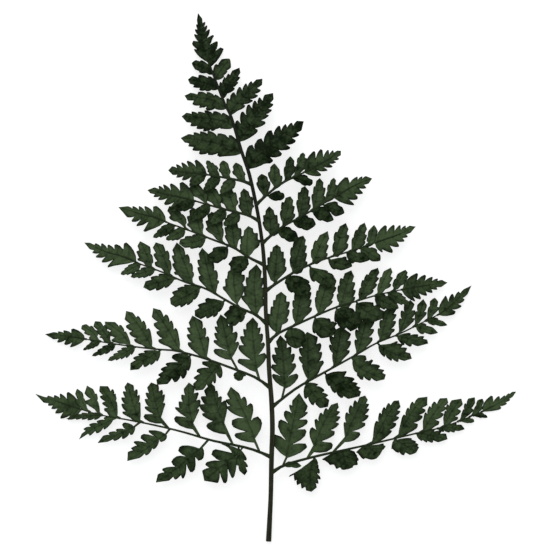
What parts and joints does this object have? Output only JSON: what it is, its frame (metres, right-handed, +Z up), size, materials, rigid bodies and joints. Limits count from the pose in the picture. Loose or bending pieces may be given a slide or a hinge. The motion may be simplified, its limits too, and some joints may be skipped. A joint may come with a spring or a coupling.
{
  "type": "fern frond",
  "caption": "Cut frond of a leathery fern lying face up: an arched brown stem with paired pinnae cut into toothed leaflets that narrow to a lobed tip.",
  "frame": {"origin": "middle of the frond's outline in plan, at the height of the table that it lies on", "axes": "+Y from the cut end of the stem toward the frond's tip, +X to the right seen from above, +Z up from the table, the leaf's upper face up"},
  "size_m": [0.338, 0.371, 0.0162],
  "materials": {
    "stem": "matte olive-brown stem",
    "leaf": "dark leathery green leaf"
  },
  "bodies": {
    "root": {"stem": "stem", "pinna_left_1": "leaf", "pinna_left_2": "leaf", "pinna_left_3": "leaf", "pinna_left_4": "leaf", "pinna_left_5": "leaf", "pinna_left_6": "leaf", "pinna_left_7": "leaf", "pinna_left_8": "leaf", "pinna_left_9": "leaf", "pinna_left_10": "leaf", "pinna_left_11": "leaf", "pinna_right_1": "leaf", "pinna_right_2": "leaf", "pinna_right_3": "leaf", "pinna_right_4": "leaf", "pinna_right_5": "leaf", "pinna_right_6": "leaf", "pinna_right_7": "leaf", "pinna_right_8": "leaf", "pinna_right_9": "leaf", "pinna_right_10": "leaf", "pinna_right_11": "leaf", "tip": "leaf"}
  },
  "joints": []
}
